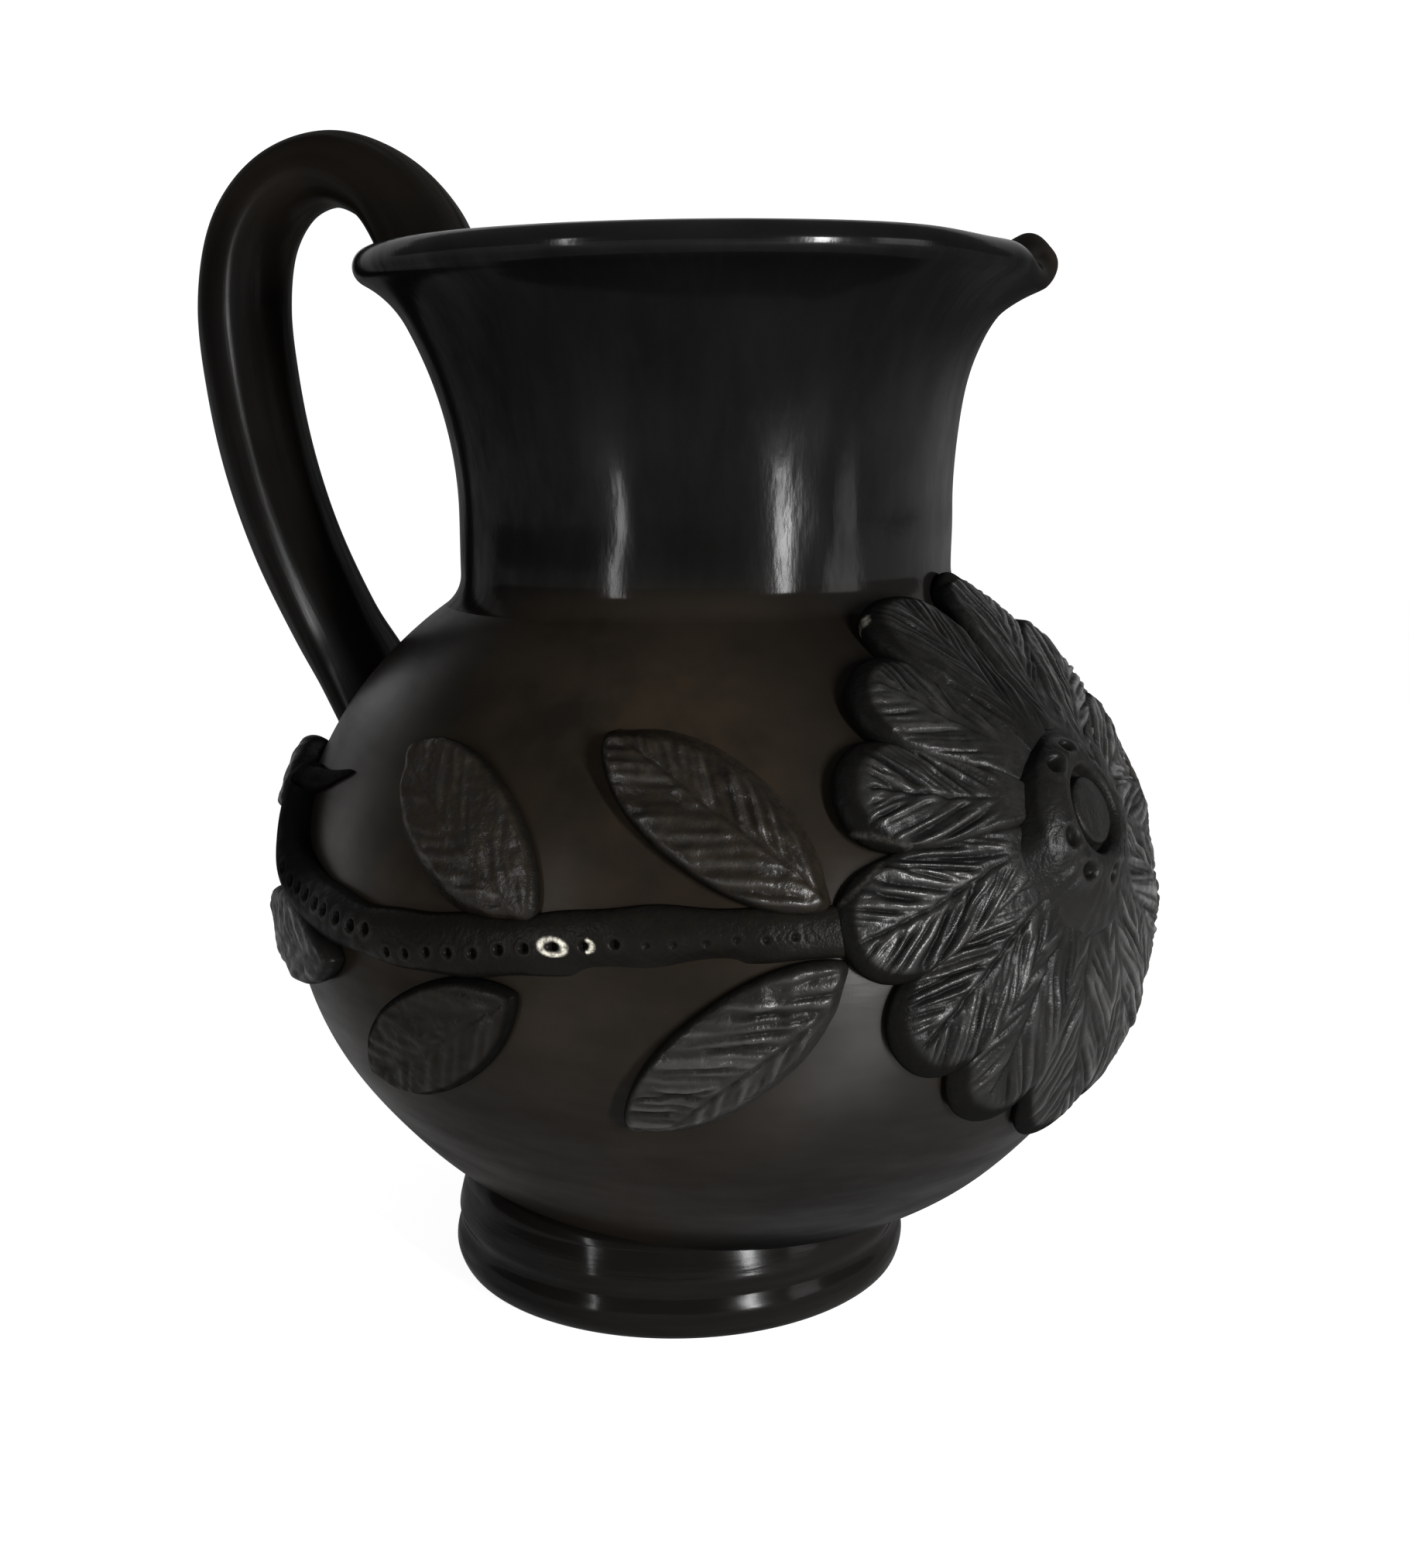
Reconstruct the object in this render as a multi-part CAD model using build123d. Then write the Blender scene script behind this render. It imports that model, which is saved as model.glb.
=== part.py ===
from build123d import *
import os
from math import atan2, cos, degrees, radians, sin, sqrt

# A hand-built black clay jug, luted together from separate pieces of clay.
# Millimetres and degrees. The origin is the middle of the foot on the table,
# +Z is up, the pouring lip points to +X and the handle stands on -X.

# Belly: a hollow globe, a little flatter than round, open at the top.
belly_radius = 67.2
belly_half_height = 58.0
belly_centre_height = 64.0
belly_wall = 5.2
belly_lean = 7.3        # its middle stands this far from the foot's axis, toward the lip
belly_tilt = 3.3        # it also sags toward the lip

# Neck: a collar that curves out to a rolled rim.
neck_radius = 38.4      # outside, where it meets the shoulder
neck_wall = 5.2         # also the thickness of the rolled rim
neck_lean = 5.8         # its axis stands this far from the foot's, toward the lip
rim_height = 162.9      # top of the rim
flare_radius = 61.0     # long outward curve of the collar
flare_turn = 27.0       # where the long curve hands over to the tight one
roll_radius = 15.5      # tight curve under the rim
roll_turn = 62.0        # how far the rim leans out from upright
lip_dip = 3.2           # depth of the pinched pouring lip
lip_groove_radius = 9.0

# Foot: a ring with a bulging outside.
foot_base_radius = 34.7
foot_bulge_radius = 37.6
foot_bulge_height = 6.5
foot_waist_radius = 36.4
foot_waist_height = 13.0
foot_ring_width = 8.5   # of the flat face that rests on the table

# Handle: a rolled clay rod, flattened over the arch and spread at both ends.
handle_reach = 92.8     # from the neck's axis to the outside of the grip
handle_rise = 22.1      # of the arch above the rim
grip_thickness = 15.8
grip_bend_radius = 107.0
arch_thickness = 12.8
arch_width = 17.5
root_thickness = 16.0   # where it sits on the rim
root_width = 25.0
root_inset = 5.0        # its line stands this far inside the middle of the rim
root_overlap = 5.0      # how far the rod reaches down over the rim
heel_thickness = 13.6   # where it lands on the belly
heel_width = 21.0
heel_depth = 8.0        # how far the rod's line runs on inside the belly

# Flower: thick petals round a raised boss with a button in it.
flower_turn = 22.5      # round from the pouring lip, toward the front
flower_rise = 22.0      # above the belly's middle
flower_half_width = 34.5
flower_half_height = 40.0
petal_count = 13
petal_thickness = 3.0
petal_gap = 0.3         # between neighbours, and between petals and boss
petal_round = 7.0       # length of the rounded end
petal_first_turn = -10.0
boss_base_radius = 11.6
boss_top_radius = 8.6
boss_rise = 8.2         # above the belly
button_radius = 4.9
button_groove = 0.8     # ring left open round the button
button_seat_depth = 2.2
button_rise = 2.6       # above the floor of its seat

# Vine: a strip of clay running from the flower round each side, its end turned up.
vine_rise = 7.0         # above the belly's middle
vine_width = 7.8
vine_thickness = 3.2
vine_start_turn = 27.0  # from the flower's middle
vine_end_turn = 106.5
tail_length = 20.0
tail_angle = 50.0       # of the turned-up end, from level
tail_thickness = 4.2

# Leaves: pairs above and below the vine, and a last one on its turned-up end.
leaf_length = 33.5
leaf_width = 15.6
leaf_thickness = 3.0
leaf_tip_round = 3.0
leaf_pair_turns = [34.0, 67.5]      # of the stems, from the flower's middle
upper_leaf_angles = [38.0, 42.0]    # from level
lower_leaf_angles = [45.0, 37.0]
last_lower_turn = 91.5
last_lower_angle = 2.0
last_lower_drop = 5.6   # from the vine's middle to the leaf's
last_upper_angle = 14.0
last_upper_length = 25.0
cut_length = 40.0       # of the prisms that cut the applied pieces, longer than any is thick

os.makedirs("parts", exist_ok=True)

front, back = 1, -1
belly_axis = Pos(belly_lean, 0, belly_centre_height) * Rot(0, belly_tilt, 0)
neck_axis = Pos(neck_lean, 0, 0)


def globe(growth=0.0):
    """The belly's outside, grown or shrunk, as a full solid."""
    outline = Plane.XZ * Ellipse(belly_radius + growth, belly_half_height + growth)
    half = outline & Plane.XZ * Pos(belly_radius, 0) * Rectangle(2 * belly_radius, 4 * belly_half_height)
    return belly_axis * revolve(half, Axis.Z)


belly_outside = globe()


def belly_radius_at(rise):
    return belly_radius * sqrt(1 - (rise / belly_half_height) ** 2)


def belly_plane(turn, rise):
    """A plane on the belly: x runs to the right seen from outside, y up and z out."""
    across = belly_radius_at(rise)
    slope = across / belly_radius ** 2
    flat = Plane(
        origin=(across * cos(radians(turn)), -across * sin(radians(turn)), rise),
        x_dir=(sin(radians(turn)), cos(radians(turn)), 0),
        z_dir=(slope * cos(radians(turn)), -slope * sin(radians(turn)), rise / belly_half_height ** 2),
    )
    return Plane(belly_axis * flat.location)


def level_rise(turn):
    """Rise on the sagging belly of the vine, which runs level."""
    return vine_rise + belly_radius * cos(radians(turn)) * sin(radians(belly_tilt))


def applied(plane, outline, thickness):
    """A flat shape of clay pressed on to the belly."""
    prism = extrude(plane * outline, cut_length / 2, both=True)
    return (prism & globe(thickness)) - belly_outside


def rise_angle(rise):
    """How far the belly's surface leans back at a rise above its middle."""
    return atan2(rise / belly_half_height ** 2, belly_radius_at(rise) / belly_radius ** 2)


def cut_by(shape, others):
    for other in others:
        shape = shape - other
    return shape


# Curve centres of the neck's section, as (distance from the axis, height).
rim_half = neck_wall / 2
flare_rise = flare_radius * sin(radians(flare_turn))
roll_rise = (roll_radius + rim_half) * sin(radians(roll_turn)) - roll_radius * sin(radians(flare_turn))
flare_centre = (neck_radius + flare_radius, rim_height - rim_half - flare_rise - roll_rise)
roll_centre = (
    flare_centre[0] - (flare_radius - roll_radius) * cos(radians(flare_turn)),
    flare_centre[1] + (flare_radius - roll_radius) * sin(radians(flare_turn)),
)
rim_centre = (
    roll_centre[0] - (roll_radius + rim_half) * cos(radians(roll_turn)),
    rim_height - rim_half,
)


def neck_side(growth):
    """One side of the collar: straight, long curve, tight curve."""
    straight = Line(
        (neck_radius - growth, belly_centre_height),
        (neck_radius - growth, flare_centre[1]),
    )
    flare = CenterArc(flare_centre, flare_radius + growth, 180, -flare_turn)
    roll = CenterArc(roll_centre, roll_radius + growth, 180 - flare_turn, flare_turn - roll_turn)
    return [straight, flare, roll]


def make_neck():
    outside = neck_side(0)
    inside = neck_side(neck_wall)
    rim = CenterArc(rim_centre, rim_half, -roll_turn, 180)
    bottom = Line(inside[0] @ 0, outside[0] @ 0)
    section = make_face(outside + [rim] + inside + [bottom])
    collar = neck_axis * revolve(Plane.XZ * section, Axis.Z)
    groove_height = rim_height - lip_dip + lip_groove_radius
    groove = Pos(neck_lean + rim_centre[0], 0, groove_height) * Rot(0, 90, 0) * Cylinder(
        lip_groove_radius, neck_radius
    )
    return collar - belly_outside - groove


def neck_filled():
    """The neck without its bore, to seat other pieces against."""
    outside = neck_side(0)
    rim = CenterArc(rim_centre, rim_half, -roll_turn, 90 + roll_turn)
    top = Line(rim @ 1, (0, rim_height))
    middle = Line((0, rim_height), (0, belly_centre_height))
    bottom = Line((0, belly_centre_height), outside[0] @ 0)
    section = make_face(outside + [rim, top, middle, bottom])
    return neck_axis * revolve(Plane.XZ * section, Axis.Z)


neck_outside = neck_filled()


def make_belly():
    mouth = neck_axis * Pos(0, 0, belly_centre_height) * Cylinder(
        neck_radius - neck_wall, rim_height, align=(Align.CENTER, Align.CENTER, Align.MIN)
    )
    return belly_outside - globe(-belly_wall) - mouth


def make_foot():
    hole_radius = foot_base_radius - foot_ring_width
    base = Line((hole_radius, 0), (foot_base_radius, 0))
    side = Spline(
        (foot_base_radius, 0),
        (foot_bulge_radius, foot_bulge_height),
        (foot_waist_radius, foot_waist_height),
    )
    rise = Polyline(
        (foot_waist_radius, foot_waist_height),
        (foot_waist_radius, belly_centre_height),
        (hole_radius, belly_centre_height),
        (hole_radius, 0),
    )
    ring = revolve(Plane.XZ * make_face([base, side, rise]), Axis.Z)
    return ring - belly_outside


def make_handle():
    """A loft along a short upright, a half-round arch and a long bend into the belly."""
    root_x = rim_centre[0] - root_inset
    arch_radius = (handle_reach - grip_thickness / 2 - root_x) / 2
    arch_x = root_x + arch_radius
    arch_z = rim_height + handle_rise - arch_thickness / 2 - arch_radius
    bend_x = arch_x + arch_radius - grip_bend_radius

    def section(x, z, run_x, run_z, thickness, width):
        return Plane(origin=(x, 0, z), x_dir=(0, 1, 0), z_dir=(run_x, 0, run_z)) * Ellipse(
            width / 2, thickness / 2
        )

    def on_arch(angle, thickness, width):
        run = radians(180 - angle)
        return section(
            arch_x + arch_radius * cos(run), arch_z + arch_radius * sin(run),
            sin(run), -cos(run), thickness, width,
        )

    def on_grip(angle, thickness, width):
        run = radians(angle)
        return section(
            bend_x + grip_bend_radius * cos(run), arch_z - grip_bend_radius * sin(run),
            -sin(run), -cos(run), thickness, width,
        )

    def depth_in_belly(angle):
        x = neck_lean - bend_x - grip_bend_radius * cos(radians(angle)) - belly_lean
        z = arch_z - grip_bend_radius * sin(radians(angle)) - belly_centre_height
        return belly_radius - sqrt(x ** 2 + (z * belly_radius / belly_half_height) ** 2)

    landing = next(step / 2 for step in range(180) if depth_in_belly(step / 2) > 0)
    heel = landing + degrees(heel_depth / grip_bend_radius)
    shoulder_thickness = (arch_thickness + root_thickness) / 2
    shoulder_width = (arch_width + root_width) / 2
    sections = [
        section(root_x, arch_z - root_overlap, 0, 1, root_thickness, root_width),
        on_arch(0, root_thickness, root_width),
        on_arch(45, shoulder_thickness, shoulder_width),
        on_arch(90, arch_thickness, arch_width),
        on_arch(135, (arch_thickness + grip_thickness) / 2, (arch_width + grip_thickness) / 2),
        on_grip(0, grip_thickness, grip_thickness),
        on_grip(landing / 3, grip_thickness, grip_thickness),
        on_grip(landing * 2 / 3, (grip_thickness + heel_thickness) / 2, grip_thickness),
        on_grip(landing, heel_thickness, (grip_thickness + heel_width) / 2),
        on_grip(heel, heel_thickness, heel_width),
    ]
    rod = neck_axis * Rot(0, 0, 180) * loft(sections)
    return rod - belly_outside - neck_outside


flower_plane = belly_plane(flower_turn, flower_rise)


def make_petal(number):
    """A wedge of clay with a rounded end, a small gap from the petals beside it."""
    turn = radians(90 + petal_first_turn + number * 360 / petal_count)
    reach = 1 / sqrt((cos(turn) / flower_half_width) ** 2 + (sin(turn) / flower_half_height) ** 2)
    start = boss_base_radius + petal_gap
    end = reach - petal_round
    spread = radians(180 / petal_count)
    gap = petal_gap / 2 / cos(spread)

    def side(distance):
        return distance * sin(spread) / cos(spread) - gap

    outline = make_face([
        Polyline((end, side(end)), (start, side(start)), (start, -side(start)), (end, -side(end))),
        ThreePointArc((end, -side(end)), (reach, 0), (end, side(end))),
    ])
    return applied(flower_plane, Rot(0, 0, degrees(turn)) * outline, petal_thickness) - neck_outside


def make_boss():
    depth = cut_length / 2
    cone = loft([
        Plane.XY * Circle(boss_base_radius),
        Plane.XY.offset(boss_rise) * Circle(boss_top_radius),
    ])
    stub = Pos(0, 0, -depth / 2) * Cylinder(boss_base_radius, depth)
    seat = Pos(0, 0, boss_rise) * Cylinder(button_radius + button_groove, 2 * button_seat_depth)
    return flower_plane.location * (cone + stub - seat) - belly_outside


def make_button():
    button = Pos(0, 0, boss_rise - button_seat_depth) * Cylinder(
        button_radius, button_rise, align=(Align.CENTER, Align.CENTER, Align.MIN)
    )
    top_edge = button.edges().group_by(Axis.Z)[-1]
    return flower_plane.location * fillet(top_edge, button_rise / 3)


def make_vine(side, petals):
    """A level strip round the belly with a turned-up end; side is front or back."""
    last_turn = flower_turn + side * vine_end_turn
    nearest_turn = flower_turn + side * vine_start_turn
    sector = Cylinder(
        belly_radius + cut_length, vine_width, arc_size=vine_end_turn - vine_start_turn,
        align=(Align.NONE, Align.NONE, Align.CENTER),
    )
    place = Pos(belly_lean, 0, belly_centre_height + vine_rise)
    sector = place * Rot(0, 0, -max(last_turn, nearest_turn)) * sector
    strip = (sector & globe(vine_thickness)) - belly_outside
    heading = 180 - tail_angle if side == front else tail_angle
    outline = Rot(0, 0, heading) * Pos(tail_length / 2, 0) * SlotCenterToCenter(tail_length, vine_width)
    tail = applied(belly_plane(last_turn, level_rise(last_turn)), outline, tail_thickness)
    return cut_by(strip + tail, petals)


def make_leaf(side, length, stem_turn, stem_rise, slant, neighbours):
    """A pointed oval that leaves the vine at a slant, away from the flower."""
    reach = length / 2
    lean = rise_angle(stem_rise)
    rise = stem_rise + reach * sin(radians(slant)) * cos(lean)
    turn = stem_turn + side * degrees(reach * cos(radians(slant)) / belly_radius_at(rise))
    outline = make_face([
        ThreePointArc((-reach, 0), (0, leaf_width / 2), (reach, 0)),
        ThreePointArc((reach, 0), (0, -leaf_width / 2), (-reach, 0)),
    ])
    outline = fillet(outline.vertices(), leaf_tip_round)
    heading = 180 - slant if side == front else slant
    leaf = applied(belly_plane(turn, rise), Rot(0, 0, heading) * outline, leaf_thickness)
    return cut_by(leaf, neighbours)


def make_side(name, side, petals):
    """One vine with its leaves, as a list of names and shapes."""
    vine = make_vine(side, petals)
    pieces = [(f"{name}_vine", vine)]
    half = vine_width / 2
    pairs = zip(leaf_pair_turns, upper_leaf_angles, lower_leaf_angles)
    for number, (stem, upper_slant, lower_slant) in enumerate(pairs, 1):
        turn = flower_turn + side * stem
        rise = level_rise(turn)
        upper = make_leaf(side, leaf_length, turn, rise + half, upper_slant, [vine] + petals)
        lower = make_leaf(side, leaf_length, turn, rise - half, -lower_slant, [vine] + petals)
        pieces.append((f"{name}_upper_leaf_{number}", upper))
        pieces.append((f"{name}_lower_leaf_{number}", lower))
    last = len(leaf_pair_turns) + 1
    turn = flower_turn + side * last_lower_turn
    rise = level_rise(turn) - last_lower_drop
    lower = make_leaf(side, leaf_length, turn, rise, -last_lower_angle, [vine])
    pieces.append((f"{name}_lower_leaf_{last}", lower))
    end_turn = flower_turn + side * vine_end_turn
    tail_run = degrees(tail_length * cos(radians(tail_angle)) / belly_radius)
    tail_rise = level_rise(end_turn) + tail_length * sin(radians(tail_angle))
    upper = make_leaf(
        side, last_upper_length, end_turn + side * tail_run, tail_rise, last_upper_angle, [vine]
    )
    pieces.append((f"{name}_upper_leaf_{last}", upper))
    return pieces


petals = [(f"petal_{number + 1:02d}", make_petal(number)) for number in range(petal_count)]
petal_shapes = [shape for name, shape in petals]
parts = [
    ("belly", make_belly()),
    ("neck", make_neck()),
    ("foot_ring", make_foot()),
    ("handle", make_handle()),
    ("flower_boss", make_boss()),
    ("flower_button", make_button()),
]
parts += petals
parts += make_side("front", front, petal_shapes)
parts += make_side("back", back, petal_shapes)

for name, shape in parts:
    export_step(shape, f"parts/{name}.step")
    print(name, len(shape.solids()), round(shape.volume, 1))
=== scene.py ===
from math import cos, pi, radians, sin, sqrt, tan

import bmesh
import bpy
import numpy as np
from mathutils import Matrix, Vector


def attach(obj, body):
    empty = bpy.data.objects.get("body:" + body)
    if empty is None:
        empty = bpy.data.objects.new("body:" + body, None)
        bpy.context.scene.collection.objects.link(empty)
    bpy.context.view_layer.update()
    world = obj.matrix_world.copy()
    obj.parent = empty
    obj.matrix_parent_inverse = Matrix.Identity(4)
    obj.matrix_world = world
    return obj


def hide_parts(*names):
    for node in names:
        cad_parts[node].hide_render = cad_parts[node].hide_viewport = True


# The looks of a burnished black clay jug. Shapes are worked out in millimetres, in the
# part's own frame, and turned into metres when their meshes are made.

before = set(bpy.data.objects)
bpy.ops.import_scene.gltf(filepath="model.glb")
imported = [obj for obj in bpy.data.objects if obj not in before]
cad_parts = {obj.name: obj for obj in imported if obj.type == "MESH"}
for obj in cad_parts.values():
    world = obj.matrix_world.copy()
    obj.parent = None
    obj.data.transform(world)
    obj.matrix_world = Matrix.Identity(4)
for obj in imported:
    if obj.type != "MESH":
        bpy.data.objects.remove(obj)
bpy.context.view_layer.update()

MM = 0.001

# Belly, as in the part: a globe flatter than round that sags toward the lip.
BELLY_RADIUS = 67.2
BELLY_HALF_HEIGHT = 58.0
BELLY_MIDDLE = np.array([7.3, 0.0, 64.0])
BELLY_TILT = radians(3.3)
BELLY_WALL = 5.2
BELLY_SLIMMING = 1.1  # the lower half is a little leaner than the globe
HAND_WOBBLE = 0.28  # unevenness of hand-built walls
FINE_WOBBLE = 0.1
BELLY_SHEEN = [  # patches rubbed brighter: turn and rise, reach, strength
    ((52.0, -4.0), 7.5, 1.1),
    ((59.0, -10.0), 8.0, 0.3),
    ((119.0, 15.0), 11.0, 0.68),
    ((131.0, 34.0), 11.0, 0.42),
    ((128.0, -20.0), 14.0, 0.15),
]

# Neck, as in the part: straight collar, long outward curve, tight curve, rolled rim.
NECK_RADIUS = 38.4
NECK_WALL = 5.2
NECK_BORE = NECK_RADIUS - NECK_WALL
NECK_LEAN = 5.8
RIM_HEIGHT = 162.9
FLARE_RADIUS, FLARE_TURN = 61.0, radians(27.0)
ROLL_RADIUS, ROLL_TURN = 15.5, radians(62.0)
NECK_FILLET = 3.2  # smeared clay where it meets the shoulder
NECK_SINK = 1.2  # its foot is sunk this deep in the shoulder
LIP_DIP = 3.1  # pinched lip, and the lobe raised beside it
LIP_LOBE = 2.1
NECK_STREAKS = [(-14.0, 18.0, 0.28), (-87.0, 7.0, 0.1)]  # bands rubbed brighter: angle, reach, strength

# Foot ring: outside as (height, radius).
FOOT_OUTSIDE = [
    (0.0, 34.7), (0.5, 36.0), (1.6, 37.0), (3.4, 37.5), (5.2, 37.3), (6.6, 36.75),
    (7.4, 36.5), (8.2, 36.65), (9.4, 36.9), (11.0, 36.6), (12.6, 36.2), (14.5, 35.6),
]
FOOT_HOLE = 26.2
FOOT_OVERLAP = 2.4  # its top reaches this far up into the belly's wall

# Handle line as (distance from the neck's axis, height, thickness, width).
HANDLE = [
    (54.0, 79.0, 12.0, 22.0),
    (57.0, 84.0, 12.6, 22.6),
    (60.0, 89.0, 13.0, 22.5),
    (64.6, 96.3, 13.4, 20.0),
    (69.7, 104.0, 14.0, 17.2),
    (76.4, 117.0, 15.0, 15.9),
    (81.2, 130.6, 15.6, 15.6),
    (83.9, 144.0, 15.7, 15.6),
    (84.7, 157.0, 15.6, 15.6),
    (82.0, 168.5, 14.6, 16.0),
    (75.2, 176.0, 13.0, 16.8),
    (65.6, 178.6, 12.3, 17.6),
    (56.2, 175.2, 12.6, 19.6),
    (49.8, 168.4, 13.2, 22.6),
    (46.8, 160.5, 12.6, 24.6),
    (44.2, 153.5, 7.5, 23.0),
    (42.6, 149.0, 3.6, 18.0),
]
HEEL_DEPTH = 0.957  # its lower end is pressed this deep into the belly, as a share of the globe
HEEL_LENGTH = 40.0  # how much of it may be pressed in
HANDLE_LINE = 255.0  # angle round the rod of the line rubbed brighter
HANDLE_RUBS = [(103.0, 9.0, 0.8), (152.0, 9.0, 0.35)]  # brightest on it: height, reach, strength

# Flower: petals as (direction in the flower's plane from right toward up, reach, thickness,
# half width, length of the bare rounded end, depth of the scored veins, how dark).
FLOWER_TURN, FLOWER_RISE = 22.5, 22.0
PETALS = [
    (66.5, 43.5, 2.9, 8.8, 1.0, 0.22, 0.3),
    (102.0, 36.6, 3.9, 8.9, 2.0, 0.22, 0.48),
    (131.0, 32.8, 4.0, 7.9, 2.2, 0.28, 0.0),
    (162.0, 33.1, 4.3, 7.8, 3.6, 0.46, 0.0),
    (194.5, 36.2, 3.9, 7.8, 0.6, 0.5, 0.0),
    (222.0, 37.2, 3.9, 7.8, 2.4, 0.45, 0.42),
    (246.0, 38.0, 3.7, 7.8, 3.4, 0.27, 0.4),
    (275.5, 41.0, 3.0, 8.4, 1.0, 0.22, 0.2),
    (300.0, 43.0, 2.7, 9.2, 1.0, 0.2, 0.1),
    (325.0, 39.5, 2.65, 9.4, 1.0, 0.2, 0.1),
    (351.0, 37.5, 2.8, 9.6, 1.0, 0.22, 0.1),
    (17.0, 38.5, 2.8, 9.6, 1.0, 0.24, 0.1),
    (42.0, 41.0, 2.8, 9.6, 1.0, 0.24, 0.1),
]
PETAL_START = 7.0
PETAL_WEDGE = radians(17.0)  # how fast its sides spread from the boss
PETAL_WIDE = 8.5  # half width past which its end is squarer and its veins lie flatter
PETAL_LAP = 0.8  # each petal's edge rides up over the next one
PETAL_BEADS = [  # petal, from and to on it, and how pale
    (4, (31.0, 5.6), (24.5, 7.0), 0.03),
    (5, (34.8, -5.0), (28.0, -7.2), 0.025),
    (2, (34.4, 6.4), (33.6, 7.2), 0.22),
]
PAD_SWELLS = [(7.0, 0.16), (2.4, 0.09), (1.1, 0.05)]  # width and height of bumps on petals and leaves
BOSS_LEAN = radians(10.0)  # its axis leans to the right, away from the belly's
# Its section as (radius, height), where it is rounded down to the petals and where its side stands up.
BOSS_CREST = [(8.0, 8.0), (7.0, 8.1), (6.2, 7.5), (5.7, 6.0)]
BOSS_SMEARED = [(13.2, -3.0), (13.1, 1.5), (12.6, 3.6), (11.7, 5.1), (10.5, 6.3), (9.3, 7.3)] + BOSS_CREST
BOSS_STEEP = [(11.3, -3.0), (11.2, 1.5), (11.0, 4.0), (10.6, 5.6), (9.9, 6.8), (9.0, 7.6)] + BOSS_CREST
BOSS_STEEP_AT, BOSS_SMEAR_AT = 150.0, 240.0  # middles of its steep and its smeared side
BOSS_SMEAR = 4.2  # how much further that side reaches
BOSS_TOP = 8.05
BOSS_PRICKS = [100, 132, 200, 237, 283, 318, 352, 25, 62]  # angles round the button
BOSS_PRICK_RADIUS = 8.9
BUTTON = [(4.9, 5.0), (4.85, 7.2), (4.5, 7.8), (3.6, 8.0), (1.8, 8.04), (0.3, 8.06)]

# Vine: middle line as (turn, rise, half width, thickness) on the belly; its end curls over to a point.
VINE = [
    (48.0, 11.9, 3.4, 2.4),
    (57.0, 11.2, 3.5, 2.5),
    (66.0, 10.6, 3.8, 2.5),
    (75.0, 9.6, 4.2, 2.6),
    (84.0, 8.1, 4.3, 2.7),
    (93.0, 6.2, 4.2, 2.8),
    (102.0, 4.7, 4.0, 2.9),
    (110.0, 3.8, 3.8, 3.1),
    (118.0, 3.6, 3.8, 3.3),
    (125.0, 4.0, 3.8, 3.6),
    (131.5, 5.2, 3.8, 4.0),
    (137.0, 8.4, 3.7, 4.2),
    (140.6, 13.0, 3.6, 4.2),
    (141.6, 17.0, 3.2, 4.0),
    (139.4, 18.0, 2.2, 2.6),
    (134.2, 19.6, 1.3, 1.3),
    (127.0, 22.4, 0.35, 0.5),
]
FAINT_PRICKS = [(59.7, 10.8), (62.8, 10.4), (66.0, 10.3), (69.2, 9.7), (72.7, 9.3), (75.6, 9.0)]
VINE_PRICKS = [
    (79.0, 8.8), (82.4, 8.2), (85.8, 7.6), (89.1, 6.9), (92.1, 6.2),
    (95.3, 5.1), (98.5, 4.5), (101.5, 3.9), (104.7, 2.9), (107.7, 2.3),
]
TAIL_PRICKS = [
    (111.4, 4.4), (113.9, 4.2), (116.8, 4.4), (119.9, 4.6), (122.0, 4.8),
    (124.8, 5.2), (127.2, 5.5), (129.6, 5.7), (132.6, 6.6),
]
# Rows of pricks: places, reach, depth. Rings of dust round two of them: place, half sizes, arc.
PRICK_ROWS = [(FAINT_PRICKS, 0.4, 0.4), (VINE_PRICKS, 0.52, 0.9), (TAIL_PRICKS, 0.66, 1.2)]
DUST_RINGS = [((85.8, 7.6), 1.6, 0.95, 360), ((82.4, 8.2), 1.2, 0.8, 150)]

# Leaves: base and tip as (turn, rise), width, thickness, depth and spacing of the veins, where the middle
# line runs across the leaf, feathering of its far and near sides, how warm its clay is and how dark.
LEAVES = {
    "upper_leaf_1": ((55.5, 14.0), (84.6, 33.4), 16.8, 2.5, 0.24, 2.2, 0.0, (1.0, 0.0), 1.0, 0.18),
    "lower_leaf_1": ((53.5, 7.4), (77.4, -16.8), 15.4, 2.6, 0.27, 1.7, 2.2, (0.0, 0.9), 0.2, 0.13),
    "upper_leaf_2": ((88.8, 9.8), (114.6, 27.8), 16.8, 2.3, 0.09, 2.3, 0.6, (0.0, 0.6), 1.0, 0.12),
    "lower_leaf_2": ((90.3, 0.4), (114.6, -17.2), 14.6, 2.2, 0.07, 2.3, 0.6, (0.0, 0.1), 0.8, 0.62),
    "upper_leaf_3": ((143.0, 13.2), (163.0, 17.2), 9.4, 4.0, 0.08, 2.3, 0.0, (0.0, 0.0), 0.1, 0.0),
    "lower_leaf_3": ((119.0, -2.6), (147.0, -3.8), 12.8, 3.4, 0.08, 2.3, 0.0, (0.0, 0.0), 0.1, 0.1),
}

# Clay colours, each from its darker to its paler tone.
SMOKED = ((0.0019, 0.0019, 0.0019), (0.0037, 0.0036, 0.0034))
SMOKED_BROWN = ((0.0128, 0.0095, 0.0063), (0.0238, 0.0177, 0.0119))
ORNAMENT_GREY = ((0.0105, 0.0104, 0.0098), (0.018, 0.0177, 0.0168))
ORNAMENT_BROWN = ((0.0108, 0.0083, 0.0056), (0.018, 0.0139, 0.0096))
PALE_DUST = (0.62, 0.59, 0.5)
COAT_IOR = 1.5

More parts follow.
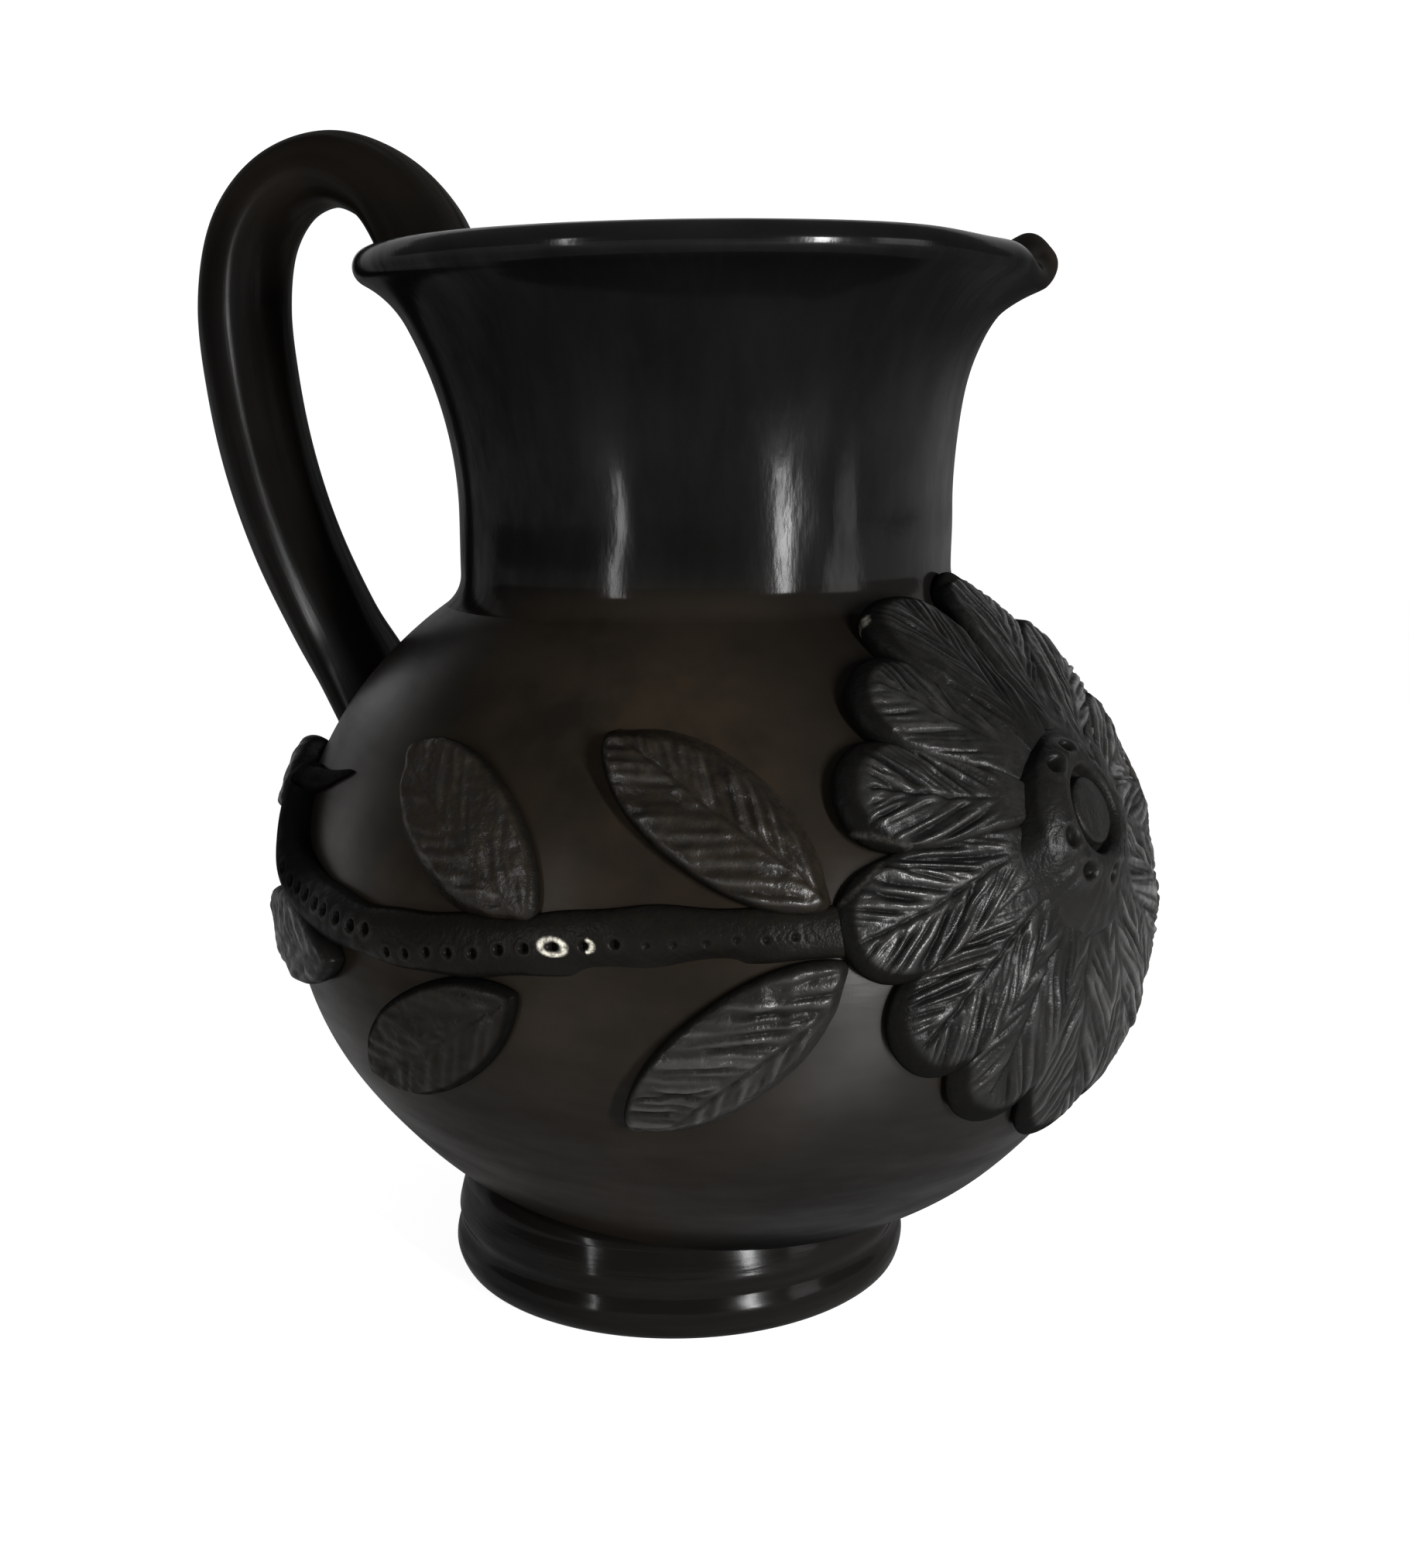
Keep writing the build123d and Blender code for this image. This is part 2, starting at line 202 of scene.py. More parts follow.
# Camera, lamps, sky and floor, in metres.
CAMERA_PLACE = Vector((0.1217, -0.2773, 0.1386))
CAMERA_AIM = Vector((-0.380, 0.905, -0.192)).normalized()
CAMERA_ROLL = -0.009
CAMERA_LENS = 43.53
LAMP_TARGET = (0.0, 0.0, 0.09)
LAMPS = [  # name, place, width, height, radiance
    ("key", (0.47, -0.305, 0.125), 0.037, 0.23, 160.0),
    ("fill", (-0.156, -0.52, 0.15), 0.02, 0.3, 50.0),
    ("side", (0.72, -0.06, 0.15), 0.22, 0.34, 5.5),
]
WORLD_LEVEL = 0.25
FLOOR_GREY = (0.6, 0.6, 0.6, 1.0)
FLOOR_GLOW = 0.86  # what it adds where the camera or a reflection sees it


def smooth(value, low, high):
    """0 below low, 1 above high, and an even curve between."""
    part = np.clip((value - low) / (high - low), 0.0, 1.0)
    return part * part * (3 - 2 * part)


def unit(vectors):
    return vectors / np.linalg.norm(vectors, axis=-1, keepdims=True)


def stacked(*columns):
    return np.stack(columns, axis=-1)


def full_turn(count):
    return np.linspace(0, 2 * pi, count, endpoint=False)


def bell(value, middle, reach, power=2):
    """1 at the middle, falling off alike on both sides of it."""
    return np.exp(-((value - middle) / reach) ** power)


def ring_points(radius, turn, height):
    """Points at a radius and a height round an upright axis."""
    return stacked(radius * np.cos(turn), radius * np.sin(turn), height + 0 * radius * turn)


def run_along(points):
    """Length along a line of points, from its start to each of them."""
    return np.concatenate([[0], np.cumsum(np.linalg.norm(np.diff(points, axis=0), axis=1))])


def read_off(run, table, wanted):
    """Rows of a table at other lengths along its line."""
    return stacked(*(np.interp(wanted, run, column) for column in table.T))


def ripple(points, size, seed):
    """A smooth random swell of about -1 to 1, its bumps about size wide."""
    waves = 14
    draw = np.random.default_rng(seed)
    heading = unit(draw.normal(size=(waves, 3))) * pi / size * draw.uniform(0.6, 1.4, (waves, 1))
    phase = draw.uniform(0, 2 * pi, waves)
    return np.cos(points @ heading.T + phase).sum(-1) / sqrt(waves)


def curve(stations, count):
    """Points evenly spaced along a smooth curve through the stations."""
    given = np.array(stations, float)
    padded = np.vstack([2 * given[0] - given[1], given, 2 * given[-1] - given[-2]])
    fine = []
    for a, b, c, d in zip(padded, padded[1:], padded[2:], padded[3:]):
        t = np.linspace(0, 1, 40, endpoint=False)[:, None]
        square = 2 * a - 5 * b + 4 * c - d
        cube = 3 * b - a - 3 * c + d
        fine.append(0.5 * (2 * b + (c - a) * t + square * t ** 2 + cube * t ** 3))
    fine = np.vstack(fine + [given[-1:]])
    run = run_along(fine[:, :2])
    return read_off(run, fine, np.linspace(0, run[-1], count))


# The neck's axis, and the belly's own axes and surface.
NECK_AXIS = np.array([NECK_LEAN, 0.0, 0.0])
TILTED = np.array([
    [cos(BELLY_TILT), 0, sin(BELLY_TILT)],
    [0, 1, 0],
    [-sin(BELLY_TILT), 0, cos(BELLY_TILT)],
])
HALF_AXES = np.array([BELLY_RADIUS, BELLY_RADIUS, BELLY_HALF_HEIGHT])


def to_frame(local):
    return local @ TILTED.T + BELLY_MIDDLE


def to_belly(points):
    return (points - BELLY_MIDDLE) @ TILTED


def globe_point(turn, rise):
    """A point on the belly, in its own axes, from a turn in degrees and a rise."""
    turn = np.radians(turn)
    across = BELLY_RADIUS * np.sqrt(np.clip(1 - (rise / BELLY_HALF_HEIGHT) ** 2, 0, 1))
    return stacked(across * np.cos(turn), -across * np.sin(turn), rise + 0 * turn)


def turn_of(local):
    """Turn in degrees of a point in the belly's axes."""
    return np.degrees(np.arctan2(-local[..., 1], local[..., 0]))


def side_point(side, turn, rise):
    """A point on the belly from a turn and a rise, with the back mirrored about the flower."""
    return globe_point(turn if side == "front" else 2 * FLOWER_TURN - turn, rise)


def globe_normal(local):
    return unit(local / HALF_AXES ** 2)


def outer_root(a, b, c):
    """The larger root of a quadratic, and a deep place where there is none."""
    inside = b * b - 4 * a * c
    root = (-b + np.sqrt(np.abs(inside))) / (2 * a)
    return np.where(inside > 0, root, -b / (2 * a) - 60 * (inside < 0))


def belly_hit(start, heading):
    """How far from the starting points a heading leaves the belly."""
    local = to_belly(start) / HALF_AXES
    along = heading @ TILTED / HALF_AXES
    return outer_root(along @ along, 2 * local @ along, (local * local).sum(-1) - 1)


class Patch:
    """A plane on the belly: u to the right seen from outside, v up. lay() puts points on the clay."""

    def __init__(self, turn, rise):
        middle = globe_point(turn, rise)
        out = globe_normal(middle)
        right = np.array([sin(radians(turn)), cos(radians(turn)), 0.0])
        self.middle = to_frame(middle)
        self.local_middle = middle
        self.local_axes = np.stack([right, np.cross(out, right), out])
        self.axes = self.local_axes @ TILTED.T

    def flat(self, local):
        """u and v of a point in the belly's axes."""
        return (self.local_axes @ (local - self.local_middle))[:2]

    def straight(self, u, v, out):
        return self.middle + stacked(u, v, out) @ self.axes

    def lay(self, u, v, height):
        """Points at a height above the belly, or above the neck where that stands higher."""
        start = self.straight(u, v, 0 * u)
        heading = self.axes[2]
        on_belly = belly_hit(start, heading)
        aside = (start - NECK_AXIS)[..., :2]
        on_neck = outer_root(
            heading[:2] @ heading[:2], 2 * aside @ heading[:2], (aside * aside).sum(-1) - NECK_RADIUS ** 2
        )
        blend = 1.3
        over = np.clip((on_neck - on_belly) / blend, -40, 40)
        out = on_belly + blend * np.log1p(np.exp(over))
        share = (1 / (1 + np.exp(-over)))[..., None]
        foot = start + out[..., None] * heading
        belly_out = globe_normal(to_belly(foot)) @ TILTED.T
        neck_out = (foot - NECK_AXIS) * np.array([1, 1, 0])
        return foot + height[..., None] * unit((1 - share) * belly_out + share * unit(neck_out))


FLOWER = Patch(FLOWER_TURN, FLOWER_RISE)


def in_scene(name, data):
    """A new object, put in the scene."""
    made = bpy.data.objects.new(name, data)
    bpy.context.scene.collection.objects.link(made)
    return made


def piece(name, rings, slot, material, closed=False, weld=False, caps=(True, True), **tags):
    """A smooth mesh from rings of points in millimetres, in place of the CAD node of that name."""
    rows, columns = rings.shape[:2]
    index = np.arange(rows * columns).reshape(rows, columns)
    after = np.roll(index, -1, axis=0) if closed else index[1:]
    before = index if closed else index[:-1]
    quads = stacked(before, np.roll(before, -1, 1), np.roll(after, -1, 1), after)
    faces = quads.reshape(-1, 4).tolist()
    if not closed:
        if caps[0]:
            faces.append(index[0, ::-1].tolist())
        if caps[1]:
            faces.append(index[-1].tolist())
    mesh = bpy.data.meshes.new(name)
    mesh.from_pydata((rings.reshape(-1, 3) * MM).tolist(), [], faces)
    for tag, values in tags.items():
        values = np.asarray(values, np.float32)
        kind, key = ("FLOAT_VECTOR", "vector") if values.ndim == 3 else ("FLOAT", "value")
        layer = mesh.attributes.new(tag, kind, "POINT")
        layer.data.foreach_set(key, np.broadcast_to(values, (rows, columns) + values.shape[2:]).ravel())
    work = bmesh.new()
    work.from_mesh(mesh)
    if weld:
        bmesh.ops.remove_doubles(work, verts=work.verts, dist=0.004 * MM)
    bmesh.ops.recalc_face_normals(work, faces=work.faces)
    work.to_mesh(mesh)
    work.free()
    mesh.shade_smooth()
    mesh.materials.append(material)
    shape = in_scene("clay_" + name, mesh)
    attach(shape, "root")
    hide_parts(name)


# Body of the jug.

def warmth(local):
    """How brown the clay is at points in the belly's axes: most on the sides between the flower and the
    handle, in clouds, and lower down only away from the flower."""
    turn = turn_of(local)
    aside = np.abs((turn - FLOWER_TURN + 180) % 360 - 180)
    sides = (0.4 + 0.6 * smooth(aside, 18, 50)) * (1 - 0.75 * smooth(aside, 84, 114))
    far = smooth(aside, 32, 62)
    upper = smooth(local[..., 2], -45 - 35 * far, 25 - 17 * far)
    return sides * upper * np.clip(0.65 + 0.35 * ripple(local, 34.0, 8), 0, 1)


def make_belly(material):
    columns, outer_rows, inner_rows = 360, 170, 60
    turn = full_turn(columns)

    def shell(axes, lean_from_top):
        """Points on a globe at angles from its top."""
        return stacked(
            axes[0] * np.sin(lean_from_top) * np.cos(turn),
            -axes[1] * np.sin(lean_from_top) * np.sin(turn),
            axes[2] * np.cos(lean_from_top),
        )

    def mouth(axes):
        """Angle from the top at which the globe meets the bore of the neck."""
        low, high = np.zeros(columns), np.full(columns, pi / 2)
        for _ in range(40):
            middle = (low + high) / 2
            point = to_frame(shell(axes, middle))
            wide = np.hypot(point[:, 0] - NECK_LEAN, point[:, 1]) > NECK_BORE
            high = np.where(wide, middle, high)
            low = np.where(wide, low, middle)
        return low

    near_bottom = pi - 0.004
    up = np.linspace(0, 1, outer_rows)[:, None]
    outside = shell(HALF_AXES, near_bottom + (mouth(HALF_AXES) - near_bottom) * up)
    rise = outside[..., 2]
    shift = HAND_WOBBLE * ripple(outside, 45.0, 3) + FINE_WOBBLE * ripple(outside, 14.0, 4)
    shift = shift - BELLY_SLIMMING * smooth(-rise, 10, 38)
    from_neck = np.hypot(outside[..., 0] + BELLY_MIDDLE[0] - NECK_LEAN, outside[..., 1])
    high = smooth(rise, 20, 30)
    by_neck = high * (1 - smooth(from_neck, NECK_RADIUS + NECK_FILLET, NECK_RADIUS + 24))
    shift = np.minimum(shift, 0.25) * (1 - by_neck)
    outside = outside + shift[..., None] * globe_normal(outside)
    inner_axes = HALF_AXES - BELLY_WALL
    down = np.linspace(0, 1, inner_rows)[:, None]
    opening = mouth(inner_axes)
    inside = shell(inner_axes, opening + (near_bottom - opening) * down)
    local = np.concatenate([outside, inside])
    stroke = local * np.array([0.05, 0.05, 0.22])
    warm = warmth(local)
    warm[:outer_rows] *= 0.62 + 0.38 * smooth(from_neck + 30 * (1 - high), NECK_RADIUS, NECK_RADIUS + 18)
    sheen = np.zeros_like(warm)
    for place, wide, strength in BELLY_SHEEN:
        away = np.linalg.norm(outside - globe_point(*place), axis=-1)
        sheen[:outer_rows] += strength * bell(away, 0.0, wide)
    unrubbed = np.concatenate([0.45 * smooth(-outside[..., 2], 8, 40), np.ones_like(inside[..., 0])])
    piece(
        "belly", to_frame(local), "burnished_clay", material,
        stroke=stroke, warm=warm, unrubbed=unrubbed, sheen=sheen,
    )


def arc(middle, radius, start, stop, count):
    """Points on an arc as (radius, height), between two angles from outward."""
    angle = np.linspace(start, stop, count)
    return stacked(middle[0] + radius * np.cos(angle), middle[1] + radius * np.sin(angle))


def neck_rings(turn):
    """Radius and height of the neck's rings before its lip is pinched, how many of them lie outside, and
    the height of the crease where it stands on the belly."""
    rim_half = NECK_WALL / 2
    flare_rise = FLARE_RADIUS * sin(FLARE_TURN)
    roll_rise = (ROLL_RADIUS + rim_half) * sin(ROLL_TURN) - ROLL_RADIUS * sin(FLARE_TURN)
    flare = (NECK_RADIUS + FLARE_RADIUS, RIM_HEIGHT - rim_half - flare_rise - roll_rise)
    step = FLARE_RADIUS - ROLL_RADIUS
    roll = (flare[0] - step * cos(FLARE_TURN), flare[1] + step * sin(FLARE_TURN))
    rim = (roll[0] - (ROLL_RADIUS + rim_half) * cos(ROLL_TURN), RIM_HEIGHT - rim_half)
    outer_arcs = np.vstack([
        arc(flare, FLARE_RADIUS, pi, pi - FLARE_TURN, 30),
        arc(roll, ROLL_RADIUS, pi - FLARE_TURN, pi - ROLL_TURN, 16)[1:],
    ])
    inner_arcs = np.vstack([
        arc(rim, rim_half, -ROLL_TURN, pi - ROLL_TURN, 20)[1:],
        arc(roll, ROLL_RADIUS + NECK_WALL, pi - ROLL_TURN, pi - FLARE_TURN, 14)[1:],
        arc(flare, FLARE_RADIUS + NECK_WALL, pi - FLARE_TURN, pi, 24)[1:],
    ])
    rings = []

    def ring(radius, height):
        rings.append((radius + 0 * turn, height + 0 * turn))

    def shoulder(radius):
        """Height of the belly round a circle about the neck's axis."""
        return belly_hit(ring_points(radius, turn, 0.0) + NECK_AXIS, np.array([0, 0, 1.0]))

    crease = shoulder(NECK_RADIUS)
    foot = (NECK_RADIUS + NECK_FILLET, shoulder(NECK_RADIUS + NECK_FILLET) - 0.05)
    for t in np.linspace(0, 1, 18):
        radius = (1 - t) ** 2 * foot[0] + 2 * t * (1 - t) * NECK_RADIUS + t * t * NECK_RADIUS
        height = (1 - t) ** 2 * foot[1] + 2 * t * (1 - t) * crease + t * t * (crease + NECK_FILLET)
        ring(radius, height)
    for t in np.linspace(0, 1, 30)[1:-1]:
        ring(NECK_RADIUS, crease + NECK_FILLET + (flare[1] - crease - NECK_FILLET) * t)
    outside_count = len(rings) + len(outer_arcs) + 1
    for radius, height in np.vstack([outer_arcs, inner_arcs]):
        ring(radius, height)
    bottom = shoulder(NECK_BORE)
    for t in np.linspace(0, 1, 24)[1:]:
        ring(NECK_BORE, flare[1] + (bottom - flare[1]) * t)
    for radius in (NECK_BORE + 1.5, NECK_RADIUS + 1):
        ring(radius, shoulder(radius) - NECK_SINK)
    radius, height = np.array(rings).transpose(1, 0, 2)
    return radius, height, outside_count, crease


def make_neck(material):
    turn = full_turn(360)
    radius, height, outside_count, crease = neck_rings(turn)
    angle = np.degrees(turn)
    angle = np.where(angle > 180, angle - 360, angle)
    dip = LIP_DIP * bell(angle, 1.0, 6.5) + 0.9 * bell(angle, -14.0, 13.0)
    lobe = LIP_LOBE * bell(angle, 23.0, 9.5, 4)
    reach = 0.9 * bell(angle, 7.0, 6.0)
    near_rim = smooth(height, 147, RIM_HEIGHT - 1)
    tighter = 0.9 * bell(height, 146.0, 9.0) * (0.5 + 0.5 * np.cos(turn)) ** 3
    outer_side = (np.arange(len(radius)) < outside_count)[:, None]
    radius = radius - tighter * outer_side + (reach - 0.45 * lobe) * near_rim
    height = height + near_rim * (lobe - dip)
    points = ring_points(radius, turn, height) + NECK_AXIS
    fluted = ripple(points * np.array([1, 1, 0.3]), 9.0, 12)
    shift = HAND_WOBBLE * ripple(points, 40.0, 11) + FINE_WOBBLE * fluted
    shift = shift * smooth(height, 116, 124) * (1 - 0.7 * smooth(height, 150, 158))
    points = points + shift[..., None] * ring_points(1.0, turn, 0.0)
    stroke = ring_points(0.26 * NECK_RADIUS + 0 * height, turn, 0.08 * height)
    low = 1 - smooth(height - crease, -1.5, 5)
    warm = 0.6 * warmth(to_belly(points)) * low
    flare_dull = 0.7 * smooth(height, 126, 146)
    unrubbed = np.where(outer_side, flare_dull, smooth(RIM_HEIGHT - height, 2, 8))
    dull = bell(angle, 16.0, 17.0, 4) * smooth(height, RIM_HEIGHT - 8, RIM_HEIGHT - 3)
    unrubbed = np.maximum(unrubbed, 0.9 * dull)
    warm = np.maximum(warm, 0.5 * dull)
    sheen = 0.5 * smooth(height, RIM_HEIGHT - 4, RIM_HEIGHT - 1) * (1 - dull)
    streaks = sum(strength * bell(angle, at, wide) for at, wide, strength in NECK_STREAKS)
    sheen = sheen + streaks * (1 - smooth(height, 134, 152)) * outer_side
    piece(
        "neck", points, "burnished_clay", material, closed=True,
        stroke=stroke, warm=warm, unrubbed=unrubbed, sheen=sheen,
    )


def make_foot(material):
    turn = full_turn(300)
    outside = curve([(radius, height) for height, radius in FOOT_OUTSIDE], 44)

    def underside(radius):
        """Height of the belly's outside above a circle about the foot's axis."""
        return -belly_hit(ring_points(radius, turn, 0.0), np.array([0, 0, -1.0]))

    top = [(35.4, 15.6), (33.8, 15.6), (30.0, 13.5)]
    hole = [(FOOT_HOLE, height) for height in (12.0, 6.0, 1.2)]
    base = [(FOOT_HOLE + 0.5, 0.3), (FOOT_HOLE + 1.4, 0.0), (30.5, 0.0), (33.6, 0.0), (34.4, 0.03)]
    section = np.vstack([outside[1:], top, hole, base])
    radius = section[:, :1] + 0 * turn
    height = section[:, 1:] + 0 * turn
    for row in range(len(outside) - 1, len(outside) - 1 + len(top)):
        height[row] = np.maximum(height[row], underside(section[row, 0]) + FOOT_OVERLAP)
    points = ring_points(radius, turn, height)
    fluted = ripple(points * np.array([1, 1, 0.15]), 9.0, 21)
    facet = FINE_WOBBLE * fluted + 0.18 * ripple(points, 30.0, 22)
    facet = np.minimum(facet, 0.2) * smooth(height, 0.4, 3) * (radius > 34)
    points = points + facet[..., None] * ring_points(1.0, turn, 0.0)
    run = 0.45 * run_along(section)[:, None] + 0 * turn
    stroke = stacked(0.04 * points[..., 0], 0.04 * points[..., 1], run)
    piece(
        "foot_ring", points, "burnished_clay", material, closed=True,
        stroke=stroke, warm=0.08, unrubbed=0.0, sheen=0.03,
    )


def make_handle(material):
    line = curve(HANDLE, 260)
    around = full_turn(72)
    run = unit(np.gradient(line[:, :2], axis=0))
    length = run_along(line[:, :2])[:, None]
    side_x, side_z = run[:, 1:], -run[:, :1]
    facet = 1 + 0.012 * np.cos(5 * around + 0.03 * length) + 0.009 * np.cos(8 * around - 0.05 * length)
    deep = line[:, 2:3] / 2 * facet * np.cos(around)
    wide = line[:, 3:4] / 2 * facet * np.sin(around)
    points = stacked(NECK_LEAN - (line[:, :1] + side_x * deep), wide, line[:, 1:2] + side_z * deep)
    swell = 0.16 * ripple(points, 26.0, 31)
    outward = stacked(-side_x * np.cos(around), np.sin(around) + 0 * deep, side_z * np.cos(around))
    points = points + swell[..., None] * outward
    stroke = ring_points(3.4 + 0 * deep, around, 0.03 * length)
    local = to_belly(points)
    depth = np.linalg.norm(local / HALF_AXES, axis=-1, keepdims=True)
    heel = (length < HEEL_LENGTH)[..., None] & (depth < HEEL_DEPTH)
    points = np.where(heel, to_frame(local * HEEL_DEPTH / depth), points)
    angle, level = np.degrees(around), points[..., 2]
    # The inner side of the rod is painted paler and browner as painted light; the arch's top is browner
    # clay.
    warm = 0.06 + 0.26 * smooth(level, 162, 176) + 0.22 * bell(angle, 160.0, 30.0)
    unrubbed = 0.9 * bell(angle, 222.0, 20.0)
    rubs = 0.12 + sum(strength * bell(level, at, wide) for at, wide, strength in HANDLE_RUBS)
    sheen = 0.6 * bell(angle, HANDLE_LINE, 15.0) * rubs * (1 - smooth(level, 160, 170))
    piece(
        "handle", points, "burnished_clay", material,
        stroke=stroke, warm=warm, unrubbed=unrubbed, sheen=sheen,
    )


# Applied ornament.

def scored_veins(s, x, start, stop, pitch, lean, widths, depth, seed):
    """Depth of scored veins: a middle line along s and slanting strokes on both sides of it, with fine
    fibres between them. Negative where clay is pushed up beside a stroke."""
    draw = np.random.default_rng(seed)
    away = x - 0.35 * np.sin(0.18 * s + draw.uniform(0, 6))
    shown = smooth(s, start - 1, start + 1) * (1 - smooth(s, stop - 1, stop + 0.5))
    cut = 0.75 * bell(away, 0.0, 0.34)
    for side in (1, -1):
        out = side * away
        at = start - 9.0 + draw.uniform(0, pitch)
        while at < stop:
            slope = radians(lean + draw.normal(0, 4))
            bow = draw.uniform(-0.01, 0.025)
            width = draw.uniform(*widths)
            near, far = draw.uniform(0.0, 1.6), draw.uniform(5.0, 10.0)
            gap = (s - at - out / tan(slope) - bow * out ** 2) * sin(slope)
            stroke = bell(gap, 0.0, width) - 0.3 * bell(np.abs(gap), 2.1 * width, width)
            length = smooth(out, near, near + 0.9) * (1 - smooth(out, far - 2.0, far))
            cut = cut + draw.uniform(0.4, 1.15) * stroke * length
            at += pitch * draw.uniform(0.65, 1.35)
    grain = (s - np.abs(away) / tan(radians(lean))) * sin(radians(lean))
    fibre = ripple(stacked(grain, 0.07 * np.abs(away), 9 * (away > 0)), 0.75, seed + 7)
    return depth * shown * (np.clip(cut, -0.5, 1.3) + 0.4 * fibre)


def pad(name, lay, outline, spine, top, edges, veins, material, seed, warm, shade, dust):
    """A pillow of clay: rings from a sunk base up its side and over to a middle line.

    outline is a closed line of (s, x); spine the stretch of the s axis that the rings close on; top(s, x)
    the height of the surface; veins(s, x) the depth of its cuts; edges(s, x) how far the side is rounded
    and how much of it is feathered out on to the clay below; shade(s, x, mask) and dust(s, x) how dark and
    how dusty it is, with a mask of 0 low on the side and 1 on top."""
    count = len(outline)
    heart = stacked(np.clip(outline[:, 0], *spine), np.zeros(count))
    deep = np.linalg.norm(heart - outline, axis=1)
    inward = (heart - outline) / np.maximum(deep, 1e-6)[:, None]
    edge_round, feather = edges(*outline.T)
    rounded = np.minimum(edge_round, 0.75 * deep)
    spots, heights, masks = [], [], []

    def inner_line(inset):
        return outline + inward * inset[:, None]

    def ring(inset, height, mask):
        spots.append(inner_line(inset))
        heights.append(height)
        masks.append(mask + 0 * deep)

    waist = 0.42 * top(*outline.T) * (1 - feather) - 0.2 * feather
    ring(0.3 * rounded * (1 - feather), np.full(count, -1.3), 0)
    for angle in np.radians([-75, -50, -25]):
        ring(0.3 * rounded * (1 - np.cos(angle)) * (1 - feather), waist * (1 + np.sin(angle)) - 0.1, 0)
    for share in np.linspace(0, 1, 13):
        inset = rounded * ((1 - feather) * (1 - cos(share * pi / 2)) + feather * share)
        climb = (1 - feather) * sin(share * pi / 2) + feather * smooth(share, 0, 1)
        ring(inset, waist + (top(*inner_line(inset).T) - waist) * climb, smooth(share, 0.45, 1))
    for share in np.linspace(0, 1, 31)[1:]:
        inset = rounded + (deep - rounded) * share
        ring(inset, top(*inner_line(inset).T), 1)
    spots, heights, masks = np.array(spots), np.array(heights), np.array(masks)
    s, x = spots[..., 0], spots[..., 1]
    cut = veins(s, x) * masks
    flat = stacked(s, x, 0 * s)
    swell = sum(high * ripple(flat, wide, seed + i) for i, (wide, high) in enumerate(PAD_SWELLS))
    points = lay(s, x, heights - cut + swell * masks)
    # Painted shade: the depth of the cuts also darkens their colour.
    cavity = np.clip(cut / 0.4, 0, 1)
    # Paler on the pushed-up ridges: partly rubbing, partly a painted highlight.
    wear = np.clip(-cut / 0.12, 0, 1)
    piece(
        name, points, "ornament_clay", material, weld=True, caps=(True, False),
        cavity=cavity, wear=wear, dust=dust(s, x), warm=warm, shade=shade(s, x, masks),
    )


def even_outline(half_width, start, stop):
    """A closed outline from a half width given along s, its points evenly spaced."""
    count = 130
    angle = np.linspace(0, pi, 400)
    s = start + (stop - start) * (1 - np.cos(angle)) / 2
    side = stacked(s, half_width(s))
    run = run_along(side)
    side = read_off(run, side, (np.arange(count) + 0.5) / count * run[-1])
    return np.vstack([side, side[::-1] * np.array([1, -1])])


def make_petal(number, material):
    direction, reach, thickness, half, bare_end, depth, darkness = PETALS[number]
    heading = radians(direction)
    end_start = reach - 0.95 * half
    squareness, lean, pitch = (3.0, 26.0, 1.45) if half > PETAL_WIDE else (2.2, 36.0, 1.6)

    def half_width(s):
        wedge = 0.5 + s * tan(PETAL_WEDGE)
        body = -np.log(np.exp(-wedge / 0.8) + np.exp(-half / 0.8)) * 0.8
        past = np.clip(s - end_start, 0, None) / (reach - end_start)
        closing = np.clip(1 - past ** squareness, 0, 1) ** (1 / 2.1)
        return np.maximum(body * closing, 0.0) * (s > PETAL_START - 1)

    def lay(s, x, height):
        u = s * cos(heading) - x * sin(heading)
        v = s * sin(heading) + x * cos(heading)
        return FLOWER.lay(u, v, height)

    def top(s, x):
        across = np.clip(x / half, -1, 1)
        crown = 0.5 * (1 - across ** 2)
        body = (PETAL_LAP * across + crown - 0.5) * thickness / 3.8 * smooth(s, 9, 20)
        return thickness + body - 0.4 * smooth(s, reach - 6, reach) + 1.9 * (1 - smooth(s, 11, 21))

    def edges(s, x):
        at_end = smooth(s, end_start - 1, reach - 0.4 * half)
        return 1.5 + (0.9 + 0.32 * bare_end) * at_end, 0 * s

    def veins(s, x):
        cut = scored_veins(s, x, 13.0, reach - bare_end, pitch, lean, (0.17, 0.42), depth, 200 + number)
        return cut * smooth(s, 11, 20)

    def shade(s, x, mask):
        # Painted shadow on the low sides of its rounded end; darker too near the boss.
        low = smooth(1 - mask, 0.0, 0.55) * smooth(s, end_start - 6, end_start + 2)
        return darkness + (1 - darkness) * np.maximum(low, 0.4 * (1 - smooth(s, 13, 22)))

    def dust(s, x):
        beads = 0 * s
        for owner, first, last, strength in PETAL_BEADS:
            if owner == number + 1:
                spot = stacked(s, x) - np.array(first)
                run = np.array(last) - np.array(first)
                share = np.clip(spot @ run / (run @ run), 0, 1)
                away = np.linalg.norm(spot - share[..., None] * run, axis=-1)
                beads = beads + strength * bell(away, 0.0, 0.3, 4)
        return beads

    outline = even_outline(half_width, PETAL_START, reach)
    spine = (PETAL_START + 2.0, end_start + 0.5)
    pad(
        f"petal_{number + 1:02d}", lay, outline, spine, top, edges, veins, material,
        seed=300 + number, warm=0.0, shade=shade, dust=dust,
    )


